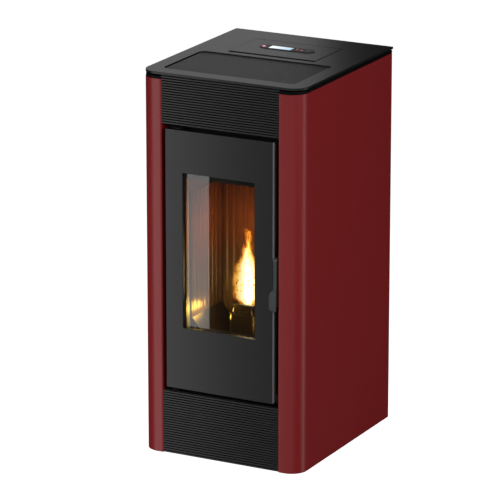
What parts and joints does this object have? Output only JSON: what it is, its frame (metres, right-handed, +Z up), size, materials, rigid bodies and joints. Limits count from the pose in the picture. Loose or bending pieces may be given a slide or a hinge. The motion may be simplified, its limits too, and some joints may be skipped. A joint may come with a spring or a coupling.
{
  "type": "pellet stove",
  "caption": "Free-standing pellet stove: painted side panels, ribbed black front, glazed hinged door, burn pot, and a top plate with grille and hopper lid.",
  "frame": {"origin": "on the floor below the middle of the outline, seen from above", "axes": "+Z up, the door faces -Y, +X to the right for a person facing the door"},
  "size_m": [0.4604, 0.5388, 1.0193],
  "materials": {
    "red_paint": "satin powder coat",
    "black_paint": "satin black stove paint",
    "grey_paint": "satin anthracite powder coat",
    "cast_iron": "black stove-painted cast iron",
    "galvanised": "galvanised sheet",
    "bare_steel": "bare mild steel",
    "ceramic_glass": "clear ceramic glass",
    "glass_rope": "woven glass-fibre rope",
    "vermiculite": "pressed board, matt",
    "black_plastic": "fine-textured plastic",
    "button_rubber": "soft-touch keys",
    "menu_plastic": "dark soft-touch key",
    "lcd": "clear display window"
  },
  "bodies": {
    "stove": {"base_tray": "galvanised", "side_panel_left": "red_paint", "side_panel_right": "red_paint", "top_deck": "black_paint", "top_plate": "grey_paint", "top_grille": "black_paint", "lid_hinge_rod": "bare_steel", "upper_louvre": "black_paint", "lower_louvre": "black_paint", "front_plate": "black_paint", "upper_hinge_bracket": "bare_steel", "lower_hinge_bracket": "bare_steel", "latch_strike": "bare_steel", "firebox_shell": "bare_steel", "back_liner": "cast_iron", "left_liner": "cast_iron", "right_liner": "cast_iron", "baffle": "vermiculite", "ash_funnel": "cast_iron", "igniter": "bare_steel", "pot_support": "cast_iron", "ash_box": "galvanised", "ash_drawer": "galvanised", "heat_exchanger": "galvanised", "smoke_duct": "galvanised", "exhaust_housing": "bare_steel", "exhaust_motor": "black_paint", "flue_spigot": "bare_steel", "convection_housing": "galvanised", "convection_motor": "black_paint", "combustion_air_pipe": "galvanised", "pellet_hopper": "galvanised", "hopper_guard": "bare_steel", "auger_tube": "bare_steel", "auger_gearmotor": "black_paint", "control_board_box": "galvanised", "rear_panel": "black_paint", "power_inlet": "black_plastic"},
    "door": {"door_panel": "black_paint", "door_glass": "ceramic_glass", "door_inner_frame": "cast_iron", "door_rope_seal": "glass_rope"},
    "handle": {"door_handle": "grey_paint"},
    "lid": {"hopper_lid": "grey_paint", "lid_seal": "glass_rope", "control_panel": "black_plastic", "display_window": "lcd"},
    "power_key": {"power_button": "button_rubber"},
    "up_key": {"up_button": "button_rubber"},
    "down_key": {"down_button": "button_rubber"},
    "menu_key": {"menu_button": "menu_plastic"},
    "pot": {"burn_pot": "cast_iron"},
    "screw": {"auger_screw": "bare_steel"},
    "exhaust_wheel": {"exhaust_impeller": "bare_steel"},
    "convection_wheel": {"convection_impeller": "galvanised"},
    "rocker": {"power_switch": "black_plastic"},
    "front_left_foot": {"foot_front_left": "black_plastic"},
    "rear_left_foot": {"foot_rear_left": "black_plastic"},
    "front_right_foot": {"foot_front_right": "black_plastic"},
    "rear_right_foot": {"foot_rear_right": "black_plastic"}
  },
  "joints": [
    {"name": "door_hinge", "type": "hinge", "parent": "stove", "child": "door", "pos_m": [-0.13, -0.2593, 0.529], "axis": [0, 0, -1], "range_deg": [0, 120]},
    {"name": "handle_pivot", "type": "hinge", "parent": "door", "child": "handle", "pos_m": [0.159, -0.246, 0.566], "axis": [-1, 0, 0], "range_deg": [0, 35]},
    {"name": "lid_hinge", "type": "hinge", "parent": "stove", "child": "lid", "pos_m": [0, 0.176, 1.0136], "axis": [-1, 0, 0], "range_deg": [0, 85]},
    {"name": "power_press", "type": "slide", "parent": "lid", "child": "power_key", "axis": [0, 0, -1], "range_m": [0, 0.0008], "stiffness_N_per_m": 1500, "springref_m": -0.001},
    {"name": "up_press", "type": "slide", "parent": "lid", "child": "up_key", "axis": [0, 0, -1], "range_m": [0, 0.0008], "stiffness_N_per_m": 1500, "springref_m": -0.001},
    {"name": "down_press", "type": "slide", "parent": "lid", "child": "down_key", "axis": [0, 0, -1], "range_m": [0, 0.0008], "stiffness_N_per_m": 1500, "springref_m": -0.001},
    {"name": "menu_press", "type": "slide", "parent": "lid", "child": "menu_key", "axis": [0, 0, -1], "range_m": [0, 0.0008], "stiffness_N_per_m": 1500, "springref_m": -0.001},
    {"name": "burn_pot_lift", "type": "slide", "parent": "stove", "child": "pot", "axis": [0, 0, 1], "range_m": [0, 0.045]},
    {"name": "auger_spin", "type": "hinge", "parent": "stove", "child": "screw", "pos_m": [-0.0025, 0.15, 0.378], "axis": [0, -0.7071, 0.7071], "continuous": true},
    {"name": "exhaust_spin", "type": "hinge", "parent": "stove", "child": "exhaust_wheel", "pos_m": [-0.133, -0.019, 0.15], "axis": [1, 0, 0], "continuous": true},
    {"name": "convection_spin", "type": "hinge", "parent": "stove", "child": "convection_wheel", "pos_m": [0.02, -0.005, 0.112], "axis": [1, 0, 0], "continuous": true},
    {"name": "mains_rocker", "type": "hinge", "parent": "stove", "child": "rocker", "pos_m": [0.165, 0.236, 0.15], "axis": [-1, 0, 0], "range_deg": [0, 16]},
    {"name": "front_left_foot_screw", "type": "slide", "parent": "stove", "child": "front_left_foot", "axis": [0, 0, -1], "range_m": [0, 0.012]},
    {"name": "rear_left_foot_screw", "type": "slide", "parent": "stove", "child": "rear_left_foot", "axis": [0, 0, -1], "range_m": [0, 0.012]},
    {"name": "front_right_foot_screw", "type": "slide", "parent": "stove", "child": "front_right_foot", "axis": [0, 0, -1], "range_m": [0, 0.012]},
    {"name": "rear_right_foot_screw", "type": "slide", "parent": "stove", "child": "rear_right_foot", "axis": [0, 0, -1], "range_m": [0, 0.012]}
  ]
}
